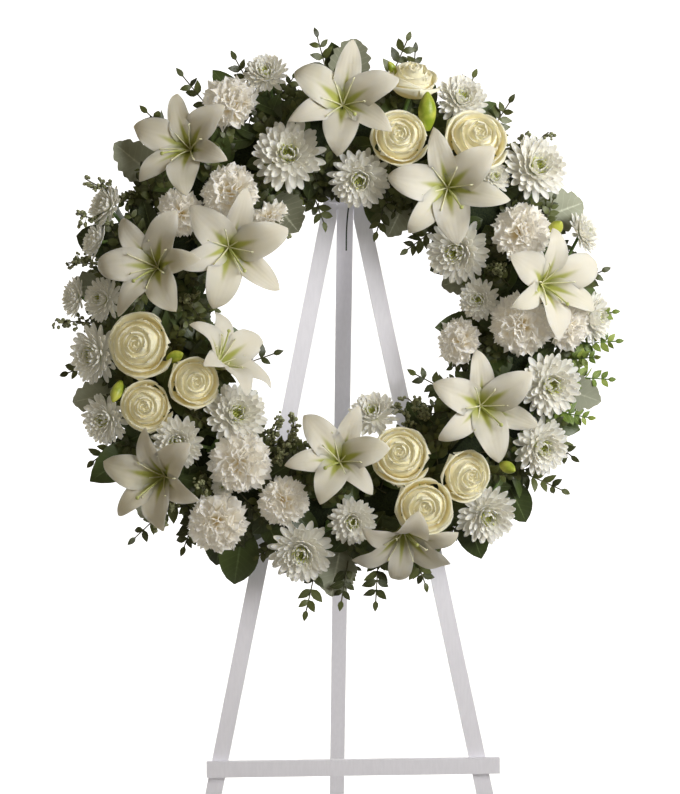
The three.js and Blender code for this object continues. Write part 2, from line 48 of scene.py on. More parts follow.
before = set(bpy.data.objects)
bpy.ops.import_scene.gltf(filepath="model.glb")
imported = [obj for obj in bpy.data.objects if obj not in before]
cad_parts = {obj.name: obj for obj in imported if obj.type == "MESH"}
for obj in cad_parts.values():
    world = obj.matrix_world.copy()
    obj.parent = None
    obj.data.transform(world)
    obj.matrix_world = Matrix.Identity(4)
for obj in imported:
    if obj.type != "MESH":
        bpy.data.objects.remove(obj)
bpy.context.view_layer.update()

# ---------- the wreath's own frame ----------

LEAN = 10
RING_RADIUS = 226
CORE_LIFT = 26
STEM_START = 12
FORK_REACH = 44
BED_SIDE = 42  # from the ring's middle circle to the sides of the bed, where the outer greens start
BED_LIFT = 30
TRAY_MIDDLE = (0, -6.25, 0)  # middle of the tray's box, in the leaning frame
MM = 0.001
VIEW_HEIGHT = 0.9528  # metres of the flowers' plane from the bottom of the view to its top
VIEW_MIDDLE = (0, -60, -88.8)  # what the camera looks at, in the leaning frame
SENSOR = 36
WHITE = (1, 1, 1)
WARM = (1, 0.87, 0.62)

_c, _s = math.cos(math.radians(LEAN)), math.sin(math.radians(LEAN))
TURN = np.array([[1, 0, 0], [0, _c, _s], [0, -_s, _c]])
TRAY_BOX = np.array([list(corner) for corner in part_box("foam_tray")])
CENTRE = TRAY_BOX.mean(axis=0) - TURN @ (np.array(TRAY_MIDDLE) * MM)
FRONT = np.array([0.0, -1.0, 0.0])
UP = np.array([0.0, 0.0, 1.0])  # a head's own axis

# clock, out, lift, lean, toward, spin, size of each head on a stem
LILIES = {
    "lily_top": [[1, 34, 106, 10, 0, 5, 69]],
    "lily_upper_left": [[319, 52, 88, 25, 300, -8, 63]],
    "lily_left": [[287, 6, 106, 22, 290, -36, 66]],
    "lily_inner_left": [[304, -70, 96, 12, 140, 12, 70]],
    "lily_inner_low_left": [[253, -83, 80, 55, 50, 10, 62]],
    "lily_lower_left": [[230, 59, 88, 30, 260, -8, 64]],
    "lily_bottom": [[181, -65, 98, 18, 350, 20, 62]],
    "lily_bottom_outer": [[164, 45, 80, 50, 178, 60, 66]],
    "lily_lower_right": [[121, -30, 106, 8, 100, -8, 66]],
    "lily_right": [[80, 25, 108, 28, 95, 0, 66]],
    "lily_upper_right": [[39, -24, 106, 8, 220, -15, 70]],
}
ROSES = {
    "rose_top": [[17, 81, 72, 55, 8, 0, 31]],
    "rose_upper_right_inner": [[18, 3, 104, 8, 0, 0, 34]],
    "rose_upper_right_outer": [[37, 46, 96, 22, 30, 0, 38]],
    "rose_left": [[264, 12, 98, 15, 270, 0, 38]],
    "rose_left_inner": [[248, -40, 102, 15, 90, 0, 30]],
    "rose_left_low": [[247, 24, 90, 10, 240, 0, 31]],
    "rose_bottom_inner": [[156, -54, 94, 15, 330, 0, 35]],
    "rose_bottom_outer": [[156, 14, 104, 5, 180, 0, 34]],
    "rose_bottom_right": [[141, 10, 96, 25, 110, 0, 32]],
}
CARNATIONS = {
    "carnation_top_left": [[334, 73, 72, 25, 334, 0, 37]],
    "carnation_left_high": [[320, -22, 98, 10, 320, 0, 37]],
    "carnation_left_shaded": [[305, 6, 80, 10, 300, 0, 32]],
    "carnation_left_inner": [[326, -85, 60, 35, 146, 0, 30]],
    "carnation_right_high": [[64, 17, 100, 10, 60, 0, 38]],
    "carnation_right": [[91, -12, 98, 10, 270, 0, 40]],
    "carnation_right_inner": [[99, -86, 64, 35, 279, 0, 30]],
    "carnation_right_outer": [[91, 49, 88, 20, 90, 0, 32]],
    "carnation_low_left": [[216, -24, 96, 8, 36, 0, 40]],
    "carnation_bottom_left": [[212, 58, 80, 18, 212, 0, 40]],
    "carnation_bottom": [[198, -1, 88, 8, 198, 0, 33]],
}
MUMS = {
    "mum_top_inner": [[343, -18, 94, 8, 343, 0, 43]],
    "mum_top_middle": [[8, -55, 82, 22, 188, 0, 37]],
    "mum_top_outer": [[344, 87, 62, 30, 344, 0, 28]],
    "mum_spray_upper_right": [
        [29, 81, 70, 25, 29, 0, 33], [47, 27, 84, 20, 60, 0, 22], [52, 75, 78, 20, 52, 0, 40],
    ],
    "mum_spray_right_inner": [[59, -63, 72, 30, 239, 0, 40], [81, -58, 76, 25, 261, 0, 26]],
    "mum_spray_right_outer": [[89, 84, 62, 50, 89, 0, 32], [70, 93, 50, 55, 70, 0, 26]],
    "mum_spray_lower_right": [
        [107, 36, 92, 12, 107, 0, 39], [122, 58, 78, 20, 122, 0, 36], [143, 66, 70, 25, 143, 0, 38],
    ],
    "mum_inner_bottom": [[160, -112, 58, 38, 340, 0, 31]],
    "mum_spray_bottom": [[177, 11, 92, 10, 177, 0, 29], [190, 53, 78, 20, 190, 0, 39]],
    "mum_spray_lower_left": [
        [234, 14, 92, 10, 234, 0, 32], [229, -62, 84, 18, 49, 0, 38], [216, 15, 74, 10, 216, 0, 14],
    ],
    "mum_spray_left_low": [[248, 79, 68, 32, 248, 0, 31], [263, 72, 68, 40, 263, 0, 36]],
    "mum_spray_left": [[276, 60, 66, 38, 276, 0, 28], [276, 96, 44, 65, 276, 0, 25]],
    "mum_spray_left_high": [[297, 90, 52, 55, 297, 0, 27], [289, 86, 42, 65, 289, 0, 24]],
}
# full size, height of the head's middle above its stem joint, stem radius
HEADS = {"lily": (69, 28, 2.8), "rose": (33, 28, 2.6), "carnation": (37, 34, 2.2), "mum": (40, 16, 2.0)}
# petals, elevation in degrees, length and half width of each layer, from the outside in
CARNATION_LAYERS = [
    (8, 10, 35, 17), (8, 26, 35, 17), (7, 42, 34, 16), (6, 57, 34, 15), (5, 70, 33, 13), (3, 83, 32, 11),
]
MUM_RINGS = [
    (18, 8, 39, 4.9), (18, 17, 38.5, 4.8), (17, 27, 36, 4.6),
    (16, 38, 32, 4.3), (14, 50, 27, 3.8), (12, 62, 22, 3.1),
]
KINDS = {"lily": LILIES, "rose": ROSES, "carnation": CARNATIONS, "mum": MUMS}

# clock, out and lift of each tip, length, half width
BROAD_LEAVES = [
    [318, 112, 40, 60, 15], [289, 115, 36, 64, 20], [238, 129, 44, 74, 22], [207, 108, 34, 66, 20],
    [202, 120, 40, 78, 24], [149, 109, 42, 66, 20], [137, 113, 40, 66, 18], [114, 96, 36, 60, 17],
    [36, 110, 42, 62, 17], [359, 121, 36, 66, 15], [346, 114, 38, 60, 15], [84, 100, 36, 56, 17],
    [226, 108, 30, 64, 19], [164, 100, 30, 60, 18], [20, 100, 30, 60, 18], [334, 116, 44, 56, 14],
    [93, -112, 38, 66, 16], [139, -100, 34, 56, 17], [266, -109, 40, 62, 17], [20, -100, 34, 56, 16],
    [185, -104, 30, 56, 16], [230, -98, 30, 52, 15], [300, -104, 30, 56, 16], [60, -98, 30, 52, 16],
]
SILVER_LEAVES = [
    [309, 122, 42, 72, 24], [254, 109, 38, 66, 22], [182, 104, 42, 70, 25], [107, 107, 46, 66, 22],
    [64, 108, 46, 74, 27], [4, 122, 44, 70, 25], [336, -112, 78, 74, 27], [226, 112, 36, 64, 20],
    [278, 104, 34, 62, 20], [70, -92, 36, 56, 18], [30, -104, 40, 60, 20],
]
# clock, out and lift of each tip
SPRIGS = [
    [328, 129, 48], [260, 108, 36], [224, 134, 44], [215, 104, 40], [187, 126, 50], [173, 115, 50],
    [162, 108, 36], [127, 114, 44], [120, 102, 36], [79, 102, 44], [38, 116, 40], [29, 117, 40],
    [14, 128, 52], [356, 124, 44], [339, 119, 40], [241, 116, 34], [318, 120, 44], [180, 112, 46],
    [23, -108, 40], [43, -106, 44], [124, -117, 44], [245, -143, 60], [352, -104, 40], [16, 118, 44],
]
SEED_SPRAYS = [
    [300, 124, 46], [271, 116, 42], [48, 119, 44], [283, 108, 40], [205, -94, 66], [146, -106, 56],
    [293, 112, 50], [330, -98, 48], [72, -30, 78], [222, 100, 60], [221, 30, 88], [337, -24, 84],
    [279, -50, 82], [212, -92, 70], [138, -104, 60], [205, -60, 80], [46, 96, 58],
]
BRIGHT_TWIGS = [[102, 110, 50], [94, 112, 54], [98, 84, 70], [111, 98, 52], [88, 106, 60]]
BED_LEAVES = 560  # sown over the whole bed, before those that run into a flower are left out
BED_SPRIGS = 330
# clock, out, lift of the tip, lean, toward, length, radius
LILY_BUDS = [
    [21, 64, 104, 80, 0, 46, 10.5], [131, 45, 104, 40, 120, 26, 7], [66, 62, 96, 40, 40, 26, 8],
    [259, -36, 98, 50, 70, 26, 7], [251, 59, 92, 60, 200, 30, 7], [157, 50, 96, 60, 110, 26, 6],
    [11, 92, 70, 60, 330, 20, 5],
]


def outward(clock):
    """Unit vectors from the ring's middle at clock angles: right by the sine and up by the cosine."""
    clock = np.radians(np.asarray(clock, float))
    return np.stack([np.sin(clock), 0 * clock, np.cos(clock)], axis=-1)


def place(clock, out, lift):
    """Points on the ring: outwards by the ring's radius and out, and lift to the front."""
    reach = RING_RADIUS + np.asarray(out, float)
    return outward(clock) * reach[..., None] + FRONT * np.asarray(lift, float)[..., None]


def facing(lean, toward):
    """Straight to the front, tipped by lean degrees towards a clock angle."""
    lean = np.radians(np.asarray(lean, float))[..., None]
    return FRONT * np.cos(lean) + outward(toward) * np.sin(lean)


def unit(v):
    return v / np.linalg.norm(v, axis=-1, keepdims=True)


def square_to(v, axis):
    """The part of v square to axis, as unit vectors."""
    return unit(v - axis * np.sum(v * axis, axis=-1, keepdims=True))


def smooth(x):
    """Rises from 0 to 1 as x does, level at both ends."""
    x = np.clip(x, 0, 1)
    return x * x * (3 - 2 * x)


# ---------- surfaces ----------


def skin(points, shade, slot=0, u=None):
    """Closed skins from grids of points, as (count, rows, around, 3): every ring is closed, the rings are
    joined row by row, and each end is shut by joining the upper and lower halves of its ring."""
    count, rows, around, _ = points.shape
    ring = np.arange(around)
    nxt = (ring + 1) % around
    belt = np.stack([ring, nxt, nxt + around, ring + around], axis=1)
    walls = (belt[None] + around * np.arange(rows - 1)[:, None, None]).reshape(-1, 4)
    half = around // 2
    upper = np.arange(half)
    lower = (around - upper) % around
    lid = np.stack([upper, lower, around - upper - 1, upper + 1], axis=1)
    end = (rows - 1) * around
    quads = np.concatenate([walls, lid[1:-1], lid[1:-1, ::-1] + end])
    first, last = lid[0, [0, 2, 3]], lid[-1, [0, 1, 3]]
    tris = np.array([first, last, first[::-1] + end, last[::-1] + end])
    offset = (np.arange(count) * rows * around)[:, None, None]
    angle = 2 * np.pi * ring / around
    grid = (count, rows, around)
    u = np.linspace(0, 1, rows) if u is None else u
    return {
        "points": points.reshape(-1, 3),
        "quads": (quads[None] + offset).reshape(-1, 4),
        "tris": (tris[None] + offset).reshape(-1, 3),
        "along": np.broadcast_to(u[None, :, None], grid).ravel(),
        "across": np.broadcast_to(np.cos(angle), grid).ravel(),
        "shade": np.broadcast_to(np.asarray(shade, float).reshape(-1, 1, 1), grid).ravel(),
        "slot": slot,
    }


def column(value, count):
    """One value for each of count blades, as a column."""
    return np.broadcast_to(np.asarray(value, float).reshape(-1, 1), (count, 1))


def blades(
    root, along, face, length, half, thick, rows, around, outline,
    bend=None, relief=None, fringe=None, solid=False, tight=1.0, shade=0.5, slot=0,
):
    """Thin closed blades, many at once. With u from 0 at the root to 1 at the tip and an angle a round the
    section, s = cos a runs from edge to edge and t = sin a from face to face. The midrib sets off in the
    along direction and has turned by bend(u) radians towards the face. A point lies half * outline(u) * s
    to the side of it, relief(u, s) of that width plus thick * t above it, and fringe(u, s) of the length
    further along. In a solid blade the thickness follows the outline too, and where tight is above 1 the
    rows stand closer together towards the tip."""
    root, along, face = np.atleast_2d(root), unit(np.atleast_2d(along)), np.atleast_2d(face)
    count = max(len(root), len(along))
    root, along = np.broadcast_to(root, (count, 3)), np.broadcast_to(along, (count, 3))
    face = square_to(np.broadcast_to(face, (count, 3)), along)
    side = np.cross(face, along)
    u = 1 - (1 - np.linspace(0, 1, rows)) ** tight
    angle = 2 * np.pi * np.arange(around) / around
    s, t = np.cos(angle), np.sin(angle)
    turn = np.broadcast_to(bend(u) if bend else 0 * u, (count, rows))
    length, half, thick = column(length, count), column(half, count), column(thick, count)

    def walk(rate):
        steps = (rate[:, 1:] + rate[:, :-1]) / 2 * np.diff(u)
        return np.concatenate([np.zeros((count, 1)), np.cumsum(steps, axis=1)], axis=1) * length

    run, rise = walk(np.cos(turn))[..., None], walk(np.sin(turn))[..., None]
    midrib = root[:, None] + along[:, None] * run + face[:, None] * rise
    ahead = along[:, None] * np.cos(turn)[..., None] + face[:, None] * np.sin(turn)[..., None]
    above = face[:, None] * np.cos(turn)[..., None] - along[:, None] * np.sin(turn)[..., None]
    shape = np.broadcast_to(outline(u), (count, rows))
    width = (half * shape)[..., None]
    depth = (thick * (shape if solid else 1 + 0 * shape))[..., None]
    uu, ss = u[:, None], s[None, :]
    raised = width * (relief(uu, ss) if relief else 0) + depth * t
    further = length[..., None] * (fringe(uu, ss) if fringe else 0) + 0 * raised
    points = (
        midrib[:, :, None]
        + side[:, None, None] * (width * s)[..., None]
        + above[:, :, None] * raised[..., None]
        + ahead[:, :, None] * further[..., None]
    )
    return skin(points, np.broadcast_to(shade, count), slot, u)


def tubes(start, end, radius, rows=2, around=6, sag=0.0, shade=0.5, slot=0):
    """Round stems from start to end. They bow to the front by sag at the middle."""
    start, end = np.atleast_2d(start), np.atleast_2d(end)
    reach = end - start
    count, u = len(start), np.linspace(0, 1, rows)
    along = unit(reach)
    side = square_to(np.cross(along, FRONT) + 1e-4, along)
    up = np.cross(along, side)
    angle = 2 * np.pi * np.arange(around) / around
    ring = side[:, None] * np.cos(angle)[:, None] + up[:, None] * np.sin(angle)[:, None]
    middle = start[:, None] + reach[:, None] * u[:, None] + FRONT * (sag * 4 * u * (1 - u))[:, None]
    points = middle[:, :, None] + ring[:, None] * column(radius, count)[:, :, None, None]
    return skin(points, np.broadcast_to(shade, count), slot)


def beads(middle, axis, radius, rows=5, around=6, stretch=1.0, shade=0.5, slot=0):
    """Small balls or ovals: the radius follows the sine of an angle from pole to pole."""
    middle, axis = np.atleast_2d(middle), unit(np.atleast_2d(axis))
    count = len(middle)
    axis = np.broadcast_to(axis, (count, 3))
    side = square_to(np.cross(axis, FRONT) + 1e-3, axis)
    up = np.cross(axis, side)
    polar = np.linspace(0.12, np.pi - 0.12, rows)
    angle = 2 * np.pi * np.arange(around) / around
    ring = side[:, None] * np.cos(angle)[:, None] + up[:, None] * np.sin(angle)[:, None]
    radius = column(radius, count)
    girth = (radius * np.sin(polar))[:, :, None, None]
    height = -(radius * stretch * np.cos(polar))[:, :, None, None]
    points = middle[:, None, None] + axis[:, None, None] * height + ring[:, None] * girth
    return skin(points, np.broadcast_to(shade, count), slot)


def moved(parts, basis, origin):
    """Head parts turned onto a basis of rows side, other and face, and set at an origin."""
    return [{**part, "points": part["points"] @ basis + origin} for part in parts]


def make_piece(name, parts, finishes, nodes=()):
    """One mesh object from parts in the leaning frame in millimetres, standing for CAD nodes."""
    points = np.concatenate([part["points"] for part in parts]) @ TURN.T * MM + CENTRE
    starts = np.cumsum([0] + [len(part["points"]) for part in parts[:-1]])
    quads = np.concatenate([part["quads"] + start for part, start in zip(parts, starts)])
    tris = np.concatenate([part["tris"] + start for part, start in zip(parts, starts)])
    mesh = bpy.data.meshes.new(name)
    mesh.vertices.add(len(points))
    mesh.vertices.foreach_set("co", points.ravel().astype(np.float32))
    corners = np.concatenate([quads.ravel(), tris.ravel()]).astype(np.int32)
    sizes = np.concatenate([np.full(len(quads), 4), np.full(len(tris), 3)]).astype(np.int32)
    mesh.loops.add(len(corners))
    mesh.loops.foreach_set("vertex_index", corners)
    mesh.polygons.add(len(sizes))
    mesh.polygons.foreach_set("loop_start", (np.cumsum(sizes) - sizes).astype(np.int32))
    mesh.polygons.foreach_set("loop_total", sizes)
    slots = [np.full(len(part[key]), part["slot"]) for key in ("quads", "tris") for part in parts]
    mesh.polygons.foreach_set("material_index", np.concatenate(slots).astype(np.int32))
    mesh.polygons.foreach_set("use_smooth", np.ones(len(sizes), bool))
    for key in ("along", "across", "shade"):
        values = np.concatenate([part[key] for part in parts]).astype(np.float32)
        mesh.attributes.new(key, "FLOAT", "POINT").data.foreach_set("value", values)
    for finish in finishes:
        mesh.materials.append(FINISHES[finish])
    mesh.update(calc_edges=True)
    mesh.validate()
    mesh.set_sharp_from_angle(angle=1.45)
    piece = bpy.data.objects.new(name, mesh)
    bpy.context.scene.collection.objects.link(piece)
    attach(piece, "frame")
    if nodes:
        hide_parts(*nodes)
    return piece


# ---------- finishes ----------


class Socket:
    """A shader socket that takes part in arithmetic: each operator adds a Math node."""

    def __init__(self, tree, link):
        self.tree, self.link = tree, link

    def node(self, kind, settings=None, inputs=None, output=0):
        """Adds a node with its settings made first and its sockets given values or links."""
        made = self.tree.nodes.new(kind)
        for key, value in (settings or {}).items():
            setattr(made, key, value)
        for key, value in (inputs or {}).items():
            if isinstance(value, Socket):
                self.tree.links.new(value.link, made.inputs[key])
            else:
                made.inputs[key].default_value = value
        return Socket(self.tree, made.outputs[output]) if made.outputs else made

    def math(self, operation, *values):
        return self.node("ShaderNodeMath", {"operation": operation}, dict(enumerate(values)))

    def __add__(self, other):
        return self.math("ADD", self, other)

    def __mul__(self, other):
        return self.math("MULTIPLY", self, other)

    def __sub__(self, other):
        return self.math("SUBTRACT", self, other)

    def __rsub__(self, other):
        return self.math("SUBTRACT", other, self)

    def __abs__(self):
        return self.math("ABSOLUTE", self)

    __radd__, __rmul__ = __add__, __mul__

    def between(self, low, high):
        """0 below low and 1 above high, with a soft step."""
        settings = {"interpolation_type": "SMOOTHSTEP"}
        return self.node("ShaderNodeMapRange", settings, {"Value": self, "From Min": low, "From Max": high})

    def mix(self, low, high):
        """A colour between low and high by this share."""
        low, high = (end if isinstance(end, Socket) else (*end, 1) for end in (low, high))
        return self.node("ShaderNodeMix", {"data_type": "RGBA"}, {0: self, 6: low, 7: high}, 2)


class Finish:
    """A new node material: the sockets that its pattern reads, and its principled shader."""

    def __init__(self, name):
        self.material = bpy.data.materials.new(name)
        self.material.use_nodes = True
        self.tree = self.material.node_tree
        self.shader = self.tree.nodes["Principled BSDF"]
        self.start = Socket(self.tree, None)
        self.place = self.start.node("ShaderNodeTexCoord", output="Object")

    def attribute(self, name):
        return self.start.node("ShaderNodeAttribute", {"attribute_name": name}, output="Fac")

    def noise(self, scale, detail=2.0, stretch=(1, 1, 1)):
        where = self.start.node("ShaderNodeMapping", inputs={"Vector": self.place, "Scale": stretch})
        inputs = {"Vector": where, "Scale": scale, "Detail": detail}
        return self.start.node("ShaderNodeTexNoise", inputs=inputs)

    def bump(self, height, distance, strength=1.0):
        inputs = {"Height": height, "Distance": distance, "Strength": strength}
        return self.start.node("ShaderNodeBump", inputs=inputs)

    def set(self, **values):
        for key, value in values.items():
            socket = self.shader.inputs[key.replace("_", " ")]
            if isinstance(value, Socket):
                self.tree.links.new(value.link, socket)
            else:
                socket.default_value = (*value, 1) if key.endswith("Color") else value
        return self.material


def petal_finish(name, edge, root, reach, ribs, glow, streak=0.0):
    """Petal skin: the root colour fades out along the petal, and further along the midrib, with fine
    ribs that run lengthwise. By glow the petal also shines in its own colour: painted light that lifts
    the shade in the hollows of the head."""
    paint = Finish(name)
    along, across, shade = (paint.attribute(key) for key in ("along", "across", "shade"))
    rib = 1 - abs(across).between(0.0, 0.3)
    depth = 1 - (along - rib * streak).between(0.0, reach)
    patch = paint.noise(60, 3)
    tint = (depth + (patch - 0.5) * 0.25 + (shade - 0.5) * 0.3).between(0.0, 1.0)
    wave = paint.start.node("ShaderNodeMath", {"operation": "SINE"}, {0: across * ribs + patch * 3.0})
    colour = tint.mix(edge, root)
    return paint.set(
        Base_Color=colour,
        # painted light: the petal glows in its own colour by glow, to lift the shade between petals
        Emission_Color=colour,
        Emission_Strength=glow,
        Roughness=0.5 + patch * 0.2,
        Specular_IOR_Level=0.3,
        Normal=paint.bump(wave + patch * 2.0, 0.00004, 0.6),
        Subsurface_Weight=0.6,
        Subsurface_Radius=(1.0, 0.9, 0.7),
        Subsurface_Scale=0.003,
    )


def leaf_finish(name, dark, light, vein, gloss, vein_width=0.1):
    """Leaf skin: two greens mixed by leaf and by place, a pale midrib and slanting side veins."""
    paint = Finish(name)
    along, across, shade = (paint.attribute(key) for key in ("along", "across", "shade"))
    patch = paint.noise(45, 3)
    green = (shade * 0.8 + patch * 0.5 - 0.15).between(0.0, 1.0).mix(dark, light)
    slant = along * 9.0 - abs(across) * 1.6
    side = paint.start.node("ShaderNodeMath", {"operation": "PINGPONG"}, {0: slant, 1: 0.5})
    veins = (1 - abs(across).between(0.0, vein_width)) * 0.6 + (1 - side.between(0.0, 0.15)) * 0.25
    share = veins.between(0.0, 1.0)
    return paint.set(
        Base_Color=share.mix(green, vein),
        Roughness=gloss + patch * 0.2,
        Normal=paint.bump(1 - share, 0.0004, 0.5),
    )


def plain_finish(
    name, dark, light, scale, roughness, bump=0.0, metallic=0.0, stretch=(1, 1, 1), glow=0.0
):
    """A mottled plain surface: two colours mixed by a fine noise that also raises it.
    A glow above 0 makes it shine in its own colour, which is painted light.
    """
    paint = Finish(name)
    grain = paint.noise(scale, 4, stretch)
    extra = {"Normal": paint.bump(grain, bump)} if bump else {}
    colour = grain.between(0.3, 0.7).mix(dark, light)
    return paint.set(
        Base_Color=colour,
        Emission_Color=colour,
        Emission_Strength=glow,
        Roughness=roughness + grain * 0.15,
        Metallic=metallic,
        **extra,
    )


def make_finishes(settings):
    """Every finish on the object, by name."""
    lily, rose, leaf = tuple(settings.lily), tuple(settings.rose), tuple(settings.leaf)
    dark_leaf = tuple(value * 0.5 for value in leaf)
    # the last number of each petal row is its glow, painted light that lifts the shade deep in the heads
    petals = {
        "lily": ("lily_petal", lily, (0.4, 0.42, 0.1), 0.46, 20.0, 0.01, 0.24),
        "rose": ("rose_petal", rose, (0.72, 0.58, 0.2), 0.9, 14.0, 0.08),
        "carnation": ("carnation_petal", (0.87, 0.83, 0.74), (0.72, 0.58, 0.28), 0.95, 14.0, 0.08),
        "mum": ("chrysanthemum_petal", (0.88, 0.86, 0.77), (0.62, 0.64, 0.3), 0.4, 8.0, 0.03),
    }
    greens = {
        "broad": ("broad_leaf", dark_leaf, leaf, (0.16, 0.22, 0.08), 0.3),
        "silver": ("silver_leaf", (0.2, 0.21, 0.14), (0.42, 0.44, 0.33), (0.62, 0.64, 0.5), 0.7),
        "small": ("small_leaf", (0.03, 0.037, 0.009), (0.12, 0.14, 0.035), (0.2, 0.24, 0.1), 0.35, 0.05),
        "bright": ("bright_leaf", (0.1, 0.17, 0.02), (0.28, 0.36, 0.06), (0.45, 0.5, 0.15), 0.4),
    }
    plain = {
        "filament": ("lily_filament", (0.72, 0.7, 0.4), (0.82, 0.8, 0.58), 200, 0.4),
        "pistil": ("lily_pistil", (0.42, 0.46, 0.12), (0.58, 0.6, 0.24), 200, 0.35),
        "eye": ("chrysanthemum_eye", (0.5, 0.56, 0.1), (0.74, 0.76, 0.3), 600, 0.5, 0.0002),
        "stem": ("stem_green", (0.07, 0.13, 0.03), (0.15, 0.24, 0.06), 80, 0.45, 0.0002),
        "bud": ("lily_bud_skin", (0.25, 0.34, 0.02), (0.6, 0.62, 0.1), 60, 0.35, 0.0003),
        "seed": ("eucalyptus_seed", (0.12, 0.14, 0.055), (0.4, 0.41, 0.23), 300, 0.55, 0.0002),
        "twig": ("twig_bark", (0.04, 0.045, 0.02), (0.12, 0.11, 0.05), 120, 0.6, 0.0003),
        "foam": ("wet_foam", (0.01, 0.018, 0.006), (0.03, 0.042, 0.014), 500, 0.9, 0.001),
        "tray": ("tray_plastic", (0.012, 0.03, 0.017), (0.018, 0.04, 0.022), 150, 0.45, 0.0001),
        # the easel's paint glows at 0.2: painted light on the legs, in place of a lamp from the front below
        "wood": (
            "white_paint_with_painted_light", (0.72, 0.71, 0.76), (0.75, 0.74, 0.79), 60, 0.45, 0.0001, 0.0, (6, 6, 0.4), 0.2,
        ),
        "steel": ("zinc_plate", (0.5, 0.5, 0.5), (0.65, 0.65, 0.66), 400, 0.25, 0.0, 1.0),
        "wire": ("green_wire", (0.01, 0.025, 0.012), (0.02, 0.04, 0.02), 200, 0.35),
    }
    makers = ((petal_finish, petals), (leaf_finish, greens), (plain_finish, plain))
    return {key: make(*row) for make, table in makers for key, row in table.items()}


FINISHES = {}

# ---------- flower heads, in millimetres about z with the stem joint at the origin ----------


def spread_round(count, offset, jitter, rng):
    """Evenly spaced angles round a circle, each moved by up to jitter radians."""
    return offset + 2 * np.pi * np.arange(count) / count + rng.uniform(-jitter, jitter, count)


def ray(angle, elevation):
    """Unit vectors at an angle round z and an elevation above the flat, and the face square above them."""
    angle, elevation = np.broadcast_arrays(angle, elevation)
    flat = np.stack([np.cos(angle), np.sin(angle), 0 * angle], axis=-1)
    rise, run = np.sin(elevation)[..., None], np.cos(elevation)[..., None]
    return flat * run + UP * rise, UP * run - flat * rise


def lily_head(size, rng):
    """Six petals in two whorls. Each sets off steeply, turns over to recurve at its tip, and is widest
    past the middle, grooved at the midrib and a little wavy at its edges."""
    k = size / HEADS["lily"][0]
    parts = []

    def outline(u):
        rise, fall = (u / 0.48) ** 0.85, (np.clip(1 - u, 0, 1) / 0.52) ** 0.85
        return 0.16 * (1 - u) + 0.95 * rise * fall + 0.015

    for whorl, (half, lift) in enumerate([(15.0, 5), (20.5, 7)]):
        angle = spread_round(3, np.pi / 3 * whorl, 0.09, rng)
        start = np.radians(62) + rng.uniform(-0.07, 0.07, 3)
        along, face = ray(angle, start)
        over = rng.uniform(1.25, 1.6, 3)[:, None]
        tip = rng.uniform(0.0, 0.9, 3)[:, None]
        wave, twist = rng.uniform(0, 6.3, (3, 1, 1)), rng.uniform(-0.5, 0.5, (3, 1, 1))
        root = np.stack([2 * np.cos(angle), 2 * np.sin(angle), 0 * angle + lift], axis=-1) * k
        parts.append(blades(
            root, along, face, 88 * k * rng.uniform(0.96, 1.03, 3), half * k, 0.5, 26, 20, outline,
            tight=1.15,
            bend=lambda u: -over * u**1.4 - tip * u**6,
            relief=lambda u, s: (0.34 - 0.42 * u) * s * s - 0.16 * np.exp(-((s / 0.14) ** 2)) * (1 - u)
            + twist * s * u * u
            + 0.13 * np.sin(11 * u + 2 * s + wave) * np.abs(s) ** 3,
            shade=rng.uniform(0, 1, 3),
        ))
    angle = spread_round(6, 0.5, 0.15, rng)
    along, face = ray(angle, np.radians(64) + rng.uniform(-0.12, 0.12, 6))
    thread = dict(rows=7, around=6, outline=lambda u: 1 - 0.35 * u, solid=True)
    filament, pistil = dict(thread, bend=lambda u: 0.5 * u), dict(thread, bend=lambda u: 0.35 * u)
    long = 44 * k * rng.uniform(0.9, 1.05, 6)
    parts.append(blades(UP * 8 * k, along, -face, long, 0.95, 0.95, slot=1, **filament))
    ends = UP * 8 * k + along * (long * 0.97)[:, None] - face * (long * 0.24)[:, None]
    parts.append(beads(ends, face, 1.0, stretch=2.4, slot=1))
    along, face = ray(np.array([rng.uniform(0, 6.3)]), np.array([np.radians(70)]))
    parts.append(blades(UP * 6 * k, along, -face, 54 * k, 1.5, 1.5, slot=2, **pistil))
    tip = UP * 6 * k + along[0] * 53 * k - face[0] * 9.5 * k
    parts.append(beads(tip, along, 2.5, rows=6, around=10, stretch=0.8, slot=2))
    parts.append(beads(UP * 3 * k, UP, 5 * k, rows=7, around=12, stretch=1.2, slot=3))
    return parts


